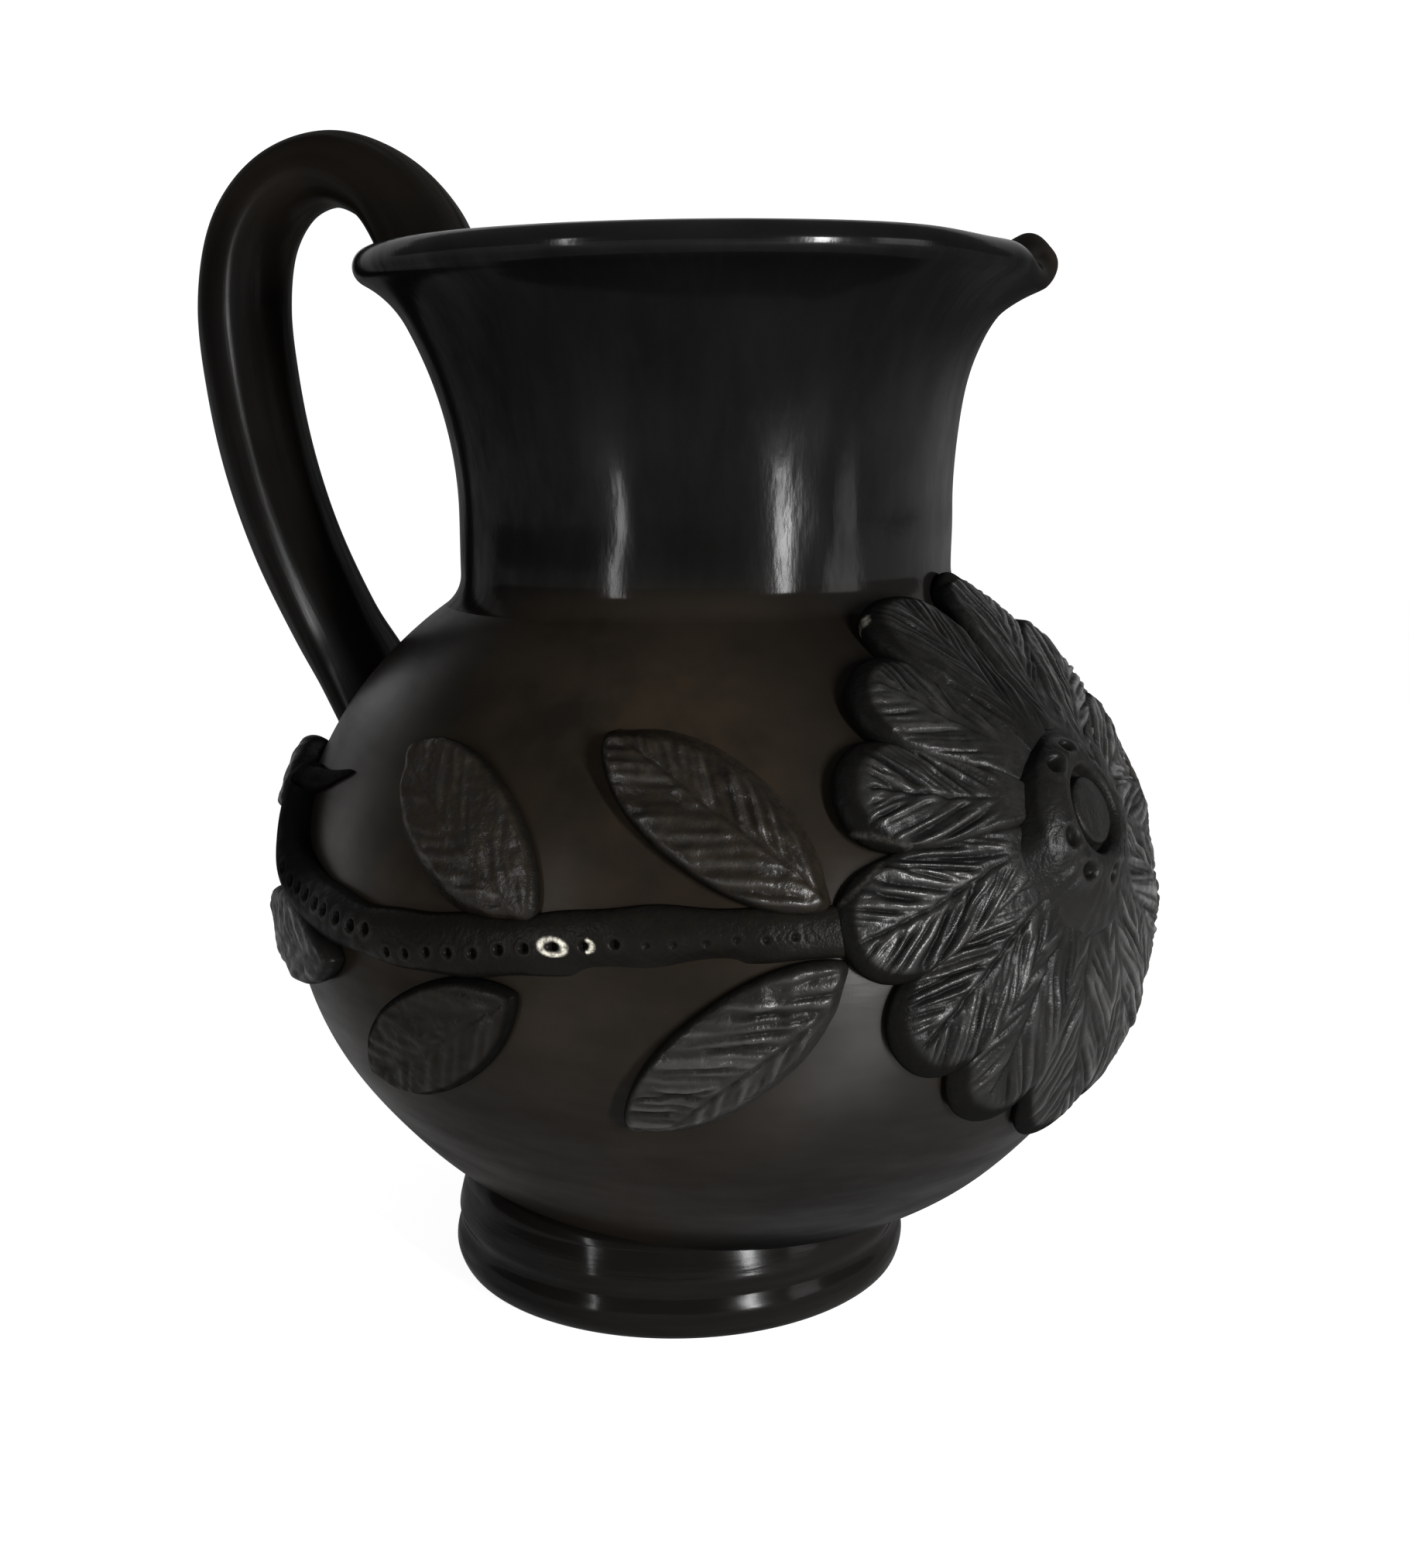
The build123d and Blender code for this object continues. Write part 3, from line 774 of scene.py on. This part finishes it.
def make_leaf(side, kind, material, seed):
    base, tip, width, thickness, depth, pitch, middle_line, feathers, warm, darkness = LEAVES[kind]
    mirror = 1 if side == "front" else -1
    start, end = side_point(side, *base), side_point(side, *tip)
    middle = (start + end) / 2
    outward = middle / np.linalg.norm(middle / HALF_AXES)
    patch = Patch(turn_of(outward), outward[2])
    first, last = patch.flat(start), patch.flat(end)
    half = np.linalg.norm(last - first) / 2
    along = (last - first) / (2 * half)
    centre = (first + last) / 2

    def half_width(s):
        share = np.clip(np.abs(s / half), 0, 1)
        return width / 2 * (1 - share ** 2.3) ** 0.72 * (1 + 0.05 * s / half)

    def lay(s, x, height):
        u = centre[0] + s * along[0] - mirror * x * along[1]
        v = centre[1] + s * along[1] + mirror * x * along[0]
        return patch.lay(u, v, height)

    def top(s, x):
        across = np.clip(2 * x / width, -1, 1)
        tilt = 0.35 * (feathers[0] - feathers[1]) * across
        swell = 0.1 * ripple(stacked(s, x, 0 * s), 2.4, seed + 9)
        return thickness - 0.4 + 0.5 * (1 - across ** 2) + tilt + swell

    def edges(s, x):
        near = smooth(x, -0.2 * width, 0.2 * width)
        feather = feathers[0] * (1 - near) + feathers[1] * near
        return 1.3 + 2.9 * feather, feather

    def veins(s, x):
        widths = (0.14 * pitch, 0.27 * pitch)
        return scored_veins(s, x - middle_line, -half, half, pitch, 39.0, widths, depth, seed)

    def shade(s, x, mask):
        # Painted shadow on its low, unfeathered sides.
        return darkness + 0.7 * (1 - mask) * (1 - edges(s, x)[1])

    outline = even_outline(half_width, -half, half)
    spine = (-0.72 * half, 0.72 * half)
    pad(
        f"{side}_{kind}", lay, outline, spine, top, edges, veins, material,
        seed=seed + 50, warm=warm, shade=shade, dust=lambda s, x: 0 * s,
    )


def boss_points(radius, turn, height):
    """Points of the boss and its button, about an axis that leans from the flower's."""
    u, v = radius * np.cos(turn), radius * np.sin(turn)
    across = u * cos(BOSS_LEAN) + height * sin(BOSS_LEAN)
    out = height * cos(BOSS_LEAN) - u * sin(BOSS_LEAN)
    return FLOWER.straight(across, v, out)


def boss_pricks(flat):
    """Depth of the pricks round the button, and the burr round each of them."""
    draw = np.random.default_rng(41)
    cavity, burr = 0 * flat[..., 0], 0 * flat[..., 0]
    for angle in np.radians(BOSS_PRICKS):
        outward = flat @ np.array([cos(angle), sin(angle), 0])
        along = flat @ np.array([-sin(angle), cos(angle), 0])
        across = outward - (BOSS_PRICK_RADIUS + draw.uniform(-0.4, 0.4))
        away = np.hypot(across, along / 1.5) + 9 * (outward < 0)
        cavity += bell(away, 0.0, 0.85, 4)
        burr += bell(away, 1.3, 0.4)
    return cavity, burr


def make_boss(material):
    turn = full_turn(240)
    from_steep = np.abs((np.degrees(turn) - BOSS_STEEP_AT + 180) % 360 - 180)
    steep = 1 - smooth(from_steep, 30, 75)
    smeared, upright = curve(BOSS_SMEARED, 90), curve(BOSS_STEEP, 90)
    radius = smeared[:, :1] * (1 - steep) + upright[:, :1] * steep
    height = smeared[:, 1:] * (1 - steep) + upright[:, 1:] * steep
    flat = ring_points(radius, turn, 0.0)
    cavity, burr = boss_pricks(flat)
    smear = 1 - smooth(np.abs(np.degrees(turn) - BOSS_SMEAR_AT), 40, 75)
    radius = radius + BOSS_SMEAR * smear * smooth(radius, 9.5, 13.2)
    petal_tops = 6.0 - 1.9 * smooth(radius, 11, 21) - radius ** 2 / 124.0
    level = petal_tops + radius * np.cos(turn) * sin(BOSS_LEAN)
    spread = smear * smooth(radius, 10, 16) * smooth(height, -2.5, 1)
    raised = height > -0.5
    height = height * (1 - spread) + (level - 1.6 * smooth(radius, 15.5, 17.3)) * spread
    shape = stacked(flat[..., 0], flat[..., 1], height)
    radius = radius + 0.22 * ripple(shape, 6.0, 42) * raised
    spokes = ripple(ring_points(16.0, turn, 0.0), 1.6, 44)
    height = height - (1.1 * cavity - 0.12 * burr - 0.12 * ripple(shape, 4.0, 43)) * raised
    height = height + 0.2 * spokes * (1 - steep) * smooth(radius, 9.0, 11.5)
    # Painted shade low on the steep side, where it stands up from the petals.
    shade = 0.66 - 0.2 * spread + 0.34 * steep * (1 - smooth(height, 5.0, 5.8)) * (1 - spread)
    points = boss_points(radius, turn, np.minimum(height, BOSS_TOP))
    piece(
        "flower_boss", points, "ornament_clay", material,
        cavity=cavity, wear=0.5 * burr, dust=0.0, warm=0.0, shade=shade,
    )


def make_button(material):
    turn = full_turn(96)
    section = curve(BUTTON, 40)
    radius = section[:, :1] * (1 + 0.02 * np.cos(2 * turn + 0.6) + 0.01 * np.cos(3 * turn))
    height = section[:, 1:] + 0 * turn
    dents = ripple(ring_points(radius, turn, height), 3.0, 45)
    points = boss_points(radius, turn, height - 0.12 * (1 + dents) * smooth(height, 6.8, 7.8))
    piece(
        "flower_button", points, "ornament_clay", material,
        cavity=0.0, wear=0.2, dust=0.0, warm=0.0, shade=0.67,
    )


def vine_pricks(side, local):
    """Depth of the pricks along the vine, and the burr round each of them."""
    cavity, burr = 0 * local[..., 0], 0 * local[..., 0]
    for places, wide, deep in PRICK_ROWS:
        for place in places:
            away = np.linalg.norm(local - side_point(side, *place), axis=-1)
            cavity += deep * bell(away, 0.0, wide, 4)
            burr += deep * bell(away, 1.9 * wide, 0.5 * wide)
    return cavity, burr


def dust_rings(local):
    """Pale dust in rings round two of the pricks."""
    dust = 0 * local[..., 0]
    for (at, rise), half_length, half_height, arc_size in DUST_RINGS:
        aside = np.radians(at - turn_of(local)) * BELLY_RADIUS / half_length
        above = (local[..., 2] - rise) / half_height
        ring = bell(np.hypot(aside, above), 1.0, 0.27, 4)
        dust += ring * (np.abs(np.degrees(np.arctan2(above, aside))) <= arc_size / 2)
    return np.clip(dust, 0, 1)


def make_vine(side, material, seed):
    line = curve(VINE, 620)
    run = run_along(globe_point(line[:, 0], line[:, 1]))
    even = np.linspace(0, run[-1], 700)
    line = read_off(run, line, even)
    turn, even = line[:, :1], even[:, None]
    lower = 1 if side == "front" else -1
    middle = side_point(side, line[:, 0], line[:, 1])
    across = np.cross(globe_normal(middle), unit(np.gradient(middle, axis=0)))
    top = np.linspace(1, -1, 44)
    spot = np.concatenate([top, np.linspace(-0.9, 0.9, 5)])
    covered = np.arange(len(spot)) < len(top)
    near_end = np.minimum(even / 3.5, (even[-1] - even) / 2)
    ends = np.sqrt(np.clip(1 - np.clip(1 - near_end, 0, 1) ** 2, 0.002, 1))
    uneven = 1 + 0.05 * np.sin(0.21 * even + 1.0) + 0.04 * np.sin(0.47 * even)
    shift = line[:, 2:3] * ends * uneven * spot
    feather = smooth(turn, 60, 67) * (1 - smooth(turn, 82, 89)) * smooth(lower * spot, -0.2, 0.3)
    rounded = (1 - np.abs(spot) ** 2.8) ** (1 / 2.2)
    dome = (1 - feather) * rounded + feather * smooth(1 - np.abs(spot), 0.0, 0.9)
    height = np.where(covered, 0.15 - 0.3 * feather + (line[:, 3:4] - 0.35) * ends * dome, -1.4 * ends)
    local = middle[:, None] + across[:, None] * shift[..., None]
    local = local / np.linalg.norm(local / HALF_AXES, axis=-1, keepdims=True)
    swell = 0.14 * ripple(local, 6.0, seed)
    cavity, burr = vine_pricks(side, local)
    dust = dust_rings(local) if side == "front" else 0.0
    height = height + (swell - cavity + 0.1 * burr) * covered
    points = to_frame(local + height[..., None] * globe_normal(local))
    warm = 0.75 * (1 - smooth(turn, 104, 120))
    # Painted shadow: the tail's inner side and its curled end are darkened.
    tail_shadow = smooth(even, 86, 98) * smooth(-lower * spot, -0.6, 0.1)
    shade = 0.83 - 0.1 * smooth(turn, 100, 112) + 0.4 * tail_shadow
    shade = np.maximum(shade, smooth(even - even[-1], -22, -16))
    piece(
        f"{side}_vine", points, "ornament_clay", material,
        cavity=cavity, wear=0.4 * burr, dust=dust, warm=warm, shade=shade,
    )


# Materials.

def add(tree, kind, inputs=None, **settings):
    """A shader node with its settings and inputs; an input that is a socket gets a link."""
    made = tree.nodes.new(kind)
    for key, value in settings.items():
        setattr(made, key, value)
    for key, value in (inputs or {}).items():
        if isinstance(value, bpy.types.NodeSocket):
            tree.links.new(value, made.inputs[key])
        else:
            made.inputs[key].default_value = value
    return made


def blank(name):
    material = bpy.data.materials.new(name)
    material.use_nodes = True
    tree = material.node_tree
    tree.nodes.clear()
    return material, tree


def attribute(tree, name, output="Fac"):
    return add(tree, "ShaderNodeAttribute", attribute_name=name).outputs[output]


def ramp(tree, value, low, high, to_low, to_high):
    inputs = {"Value": value, "From Min": low, "From Max": high, "To Min": to_low, "To Max": to_high}
    return add(tree, "ShaderNodeMapRange", inputs).outputs["Result"]


def combine(tree, operation, first, second):
    return add(tree, "ShaderNodeMath", {0: first, 1: second}, operation=operation).outputs[0]


def times(tree, first, second):
    return combine(tree, "MULTIPLY", first, second)


def plus(tree, first, second):
    return combine(tree, "ADD", first, second)


def mix(tree, share, first, second):
    """One colour into another; each is a socket or red, green and blue."""
    pair = [c if isinstance(c, bpy.types.NodeSocket) else (*c, 1.0) for c in (first, second)]
    inputs = {"Factor": share, 6: pair[0], 7: pair[1]}
    return add(tree, "ShaderNodeMix", inputs, data_type="RGBA").outputs[2]


def noise(tree, vector, scale, detail):
    inputs = {"Vector": vector, "Scale": scale, "Detail": detail, "Roughness": 0.55}
    return add(tree, "ShaderNodeTexNoise", inputs).outputs["Fac"]


def clay_shader(tree, tone, roughness, polish, coat_roughness, lift, strength, depth):
    """Joins colour, gloss and fine relief: a dull body under a coat as strong as the polish."""
    bump = add(tree, "ShaderNodeBump", {"Height": lift, "Strength": strength, "Distance": depth})
    normal = bump.outputs["Normal"]
    shader = add(tree, "ShaderNodeBsdfPrincipled", {
        "Base Color": tone, "Roughness": roughness, "Normal": normal, "Specular IOR Level": 0.0,
        "Coat Weight": polish, "Coat Roughness": coat_roughness, "Coat IOR": COAT_IOR,
        "Coat Normal": normal,
    })
    add(tree, "ShaderNodeOutputMaterial", {"Surface": shader.outputs[0]})


def burnished_clay(name, coat_roughness, polish_range, stroke_depth):
    """Smoke-black clay rubbed with a stone: a dark body under a soft gloss broken by rubbing strokes."""
    material, tree = blank(name)
    place = add(tree, "ShaderNodeTexCoord").outputs["Object"]
    stroke = attribute(tree, "stroke", "Vector")
    warm, unrubbed, sheen = (attribute(tree, tag) for tag in ("warm", "unrubbed", "sheen"))
    broad = noise(tree, stroke, 0.9, 3.0)
    fine = noise(tree, stroke, 3.4, 4.0)
    cloud = noise(tree, place, 28.0, 4.0)
    patch = noise(tree, place, 95.0, 5.0)
    grain = noise(tree, place, 900.0, 2.0)
    neutral = mix(tree, ramp(tree, cloud, 0.3, 0.7, 0, 1), *SMOKED)
    brown = mix(tree, ramp(tree, cloud, 0.35, 0.7, 0, 1), *SMOKED_BROWN)
    tone = mix(tree, warm, neutral, brown)
    smoked = times(tree, warm, ramp(tree, patch, 0.42, 0.66, 0, 0.85))
    tone = mix(tree, smoked, tone, (0.0062, 0.0056, 0.0046))
    tone = mix(tree, ramp(tree, fine, 0.5, 0.85, 0, 0.12), tone, (0.012, 0.0116, 0.0105))
    low, high = polish_range
    polish = ramp(tree, broad, 0.3, 0.7, high, low)
    polish = plus(tree, polish, ramp(tree, fine, 0.3, 0.7, 0.02, -0.02))
    polish = times(tree, polish, ramp(tree, unrubbed, 0.0, 1.0, 1.0, 0.3))
    polish = times(tree, polish, ramp(tree, warm, 0.0, 1.0, 1.0, 0.15))
    polish = plus(tree, polish, times(tree, sheen, ramp(tree, cloud, 0.35, 0.6, 0.5, 1.0)))
    lift = plus(tree, times(tree, broad, 0.6), times(tree, fine, 0.3))
    lift = plus(tree, lift, times(tree, grain, 0.05))
    clay_shader(tree, tone, 0.8, polish, coat_roughness, lift, 0.5, stroke_depth)
    return material


def ornament_clay():
    """Less rubbed clay: painted shade in cuts and shaded sides, ridges paler from rubbing and painted
    highlight, pale dust.
    """
    material, tree = blank("ornament_clay")
    place = add(tree, "ShaderNodeTexCoord").outputs["Object"]
    tags = ("cavity", "wear", "dust", "warm", "shade")
    cavity, wear, dust, warm, shade = (attribute(tree, tag) for tag in tags)
    cloud = noise(tree, place, 60.0, 4.0)
    grain = noise(tree, place, 520.0, 4.0)
    speck = noise(tree, place, 1500.0, 2.0)
    clouded = ramp(tree, cloud, 0.3, 0.7, 0, 1)
    tone = mix(tree, warm, mix(tree, clouded, *ORNAMENT_GREY), mix(tree, clouded, *ORNAMENT_BROWN))
    tone = mix(tree, ramp(tree, grain, 0.42, 0.62, 0.55, 0.0), tone, (0.005, 0.0048, 0.0044))
    # Ridges and burrs paler: rubbing and a painted highlight.
    rubbed = times(tree, wear, ramp(tree, grain, 0.4, 0.7, 0.0, 0.5))
    tone = mix(tree, rubbed, tone, (0.032, 0.031, 0.028))
    # Painted shade: darker in the cuts and pricks.
    tone = mix(tree, times(tree, cavity, 0.75), tone, (0.002, 0.002, 0.002))
    # Darker with shade: each piece's own darkness, plus painted shadow on shaded sides and ends.
    tone = mix(tree, times(tree, shade, 0.85), tone, (0.0025, 0.0024, 0.0022))
    pale = times(tree, dust, ramp(tree, speck, 0.35, 0.6, 0.25, 1.0))
    tone = mix(tree, pale, tone, PALE_DUST)
    polish = plus(tree, ramp(tree, grain, 0.3, 0.7, 0.42, 0.12), times(tree, wear, 0.45))
    polish = times(tree, polish, ramp(tree, cavity, 0.0, 1.0, 1.0, 0.3))
    # Less gloss with shade, so the painted shadow stays dark.
    polish = times(tree, polish, ramp(tree, shade, 0.0, 1.0, 1.0, 0.08))
    lift = plus(tree, times(tree, grain, 0.6), times(tree, speck, 0.25))
    clay_shader(tree, tone, 0.85, polish, 0.33, lift, 0.9, 0.0004)
    return material


def floor_white():
    """A white sheet that keeps the jug's soft shadow and shows white to the camera and in gloss."""
    material, tree = blank("floor_white")
    path = add(tree, "ShaderNodeLightPath")
    seen = combine(tree, "MAXIMUM", path.outputs["Is Camera Ray"], path.outputs["Is Glossy Ray"])
    seen = combine(tree, "MAXIMUM", seen, path.outputs["Is Transmission Ray"])
    matte = add(tree, "ShaderNodeBsdfDiffuse", {"Color": FLOOR_GREY}).outputs[0]
    glow = add(tree, "ShaderNodeEmission", {"Strength": times(tree, seen, FLOOR_GLOW)}).outputs[0]
    both = add(tree, "ShaderNodeAddShader", {0: matte, 1: glow}).outputs[0]
    add(tree, "ShaderNodeOutputMaterial", {"Surface": both})
    return material


# Stage.

def make_floor():
    """A sheet that lies under the jug and sweeps up behind it, square to the camera."""
    bend, before, behind, top, half = 0.5, 3.0, 0.9, 1.7, 3.0
    section = [(-before, 0.0), (behind, 0.0)]
    section += [(behind + bend * sin(a), bend - bend * cos(a)) for a in np.radians(np.arange(6, 91, 6))]
    section.append((behind + bend, top))
    away = Vector((CAMERA_AIM.x, CAMERA_AIM.y, 0)).normalized()
    aside = Vector((away.y, -away.x, 0))
    lower = Vector((0, 0, -0.0002))  # a hair below the foot
    points = [away * d + aside * w + Vector((0, 0, z)) + lower for d, z in section for w in (-half, half)]
    faces = [(2 * i, 2 * i + 1, 2 * i + 3, 2 * i + 2) for i in range(len(section) - 1)]
    mesh = bpy.data.meshes.new("floor")
    mesh.from_pydata(points, [], faces)
    mesh.shade_smooth()
    mesh.materials.append(floor_white())
    floor = in_scene("floor", mesh)


def soft_light(name, place, wide, tall, radiance):
    lamp = bpy.data.lights.new(name, "AREA")
    lamp.shape = "RECTANGLE"
    lamp.size, lamp.size_y = wide, tall
    lamp.energy = radiance * pi * wide * tall
    light = in_scene(name, lamp)
    light.location = place
    light.visible_camera = False
    aim = Vector(LAMP_TARGET) - Vector(place)
    light.rotation_euler = aim.to_track_quat("-Z", "Y").to_euler()


def make_lights():
    for lamp in LAMPS:
        soft_light(*lamp)
    world = bpy.data.worlds.new("studio")
    world.use_nodes = True
    sky = world.node_tree.nodes["Background"]
    sky.inputs["Color"].default_value = (1.0, 1.0, 1.0, 1.0)
    sky.inputs["Strength"].default_value = WORLD_LEVEL
    bpy.context.scene.world = world


def make_camera():
    lens = bpy.data.cameras.new("camera")
    lens.lens = CAMERA_LENS
    lens.sensor_width = 36.0
    lens.clip_start = 0.01
    level = Vector((CAMERA_AIM.y, -CAMERA_AIM.x, 0)).normalized()
    upright = level.cross(CAMERA_AIM)
    right = level * cos(CAMERA_ROLL) + upright * sin(CAMERA_ROLL)
    up = right.cross(CAMERA_AIM)
    turned = Matrix((right, up, -CAMERA_AIM)).transposed().to_4x4()
    camera = in_scene("camera", lens)
    camera.matrix_world = Matrix.Translation(CAMERA_PLACE) @ turned
    bpy.context.scene.camera = camera


burnished = burnished_clay("burnished_clay", 0.15, (0.055, 0.13), 0.00014)
thumbed = burnished_clay("thumbed_clay", 0.25, (0.03, 0.14), 0.00014)
rubbed = burnished_clay("rubbed_clay", 0.3, (0.12, 0.22), 0.0001)
ornament = ornament_clay()
make_belly(rubbed)
make_neck(burnished)
make_foot(burnished)
make_handle(thumbed)
make_boss(ornament)
make_button(ornament)
for number in range(len(PETALS)):
    make_petal(number, ornament)
for side_number, side in enumerate(("front", "back")):
    make_vine(side, ornament, 60 + side_number)
    for leaf_number, kind in enumerate(LEAVES):
        make_leaf(side, kind, ornament, 400 + 20 * side_number + leaf_number)
make_floor()
make_lights()
make_camera()
bpy.context.scene.view_settings.view_transform = "Standard"
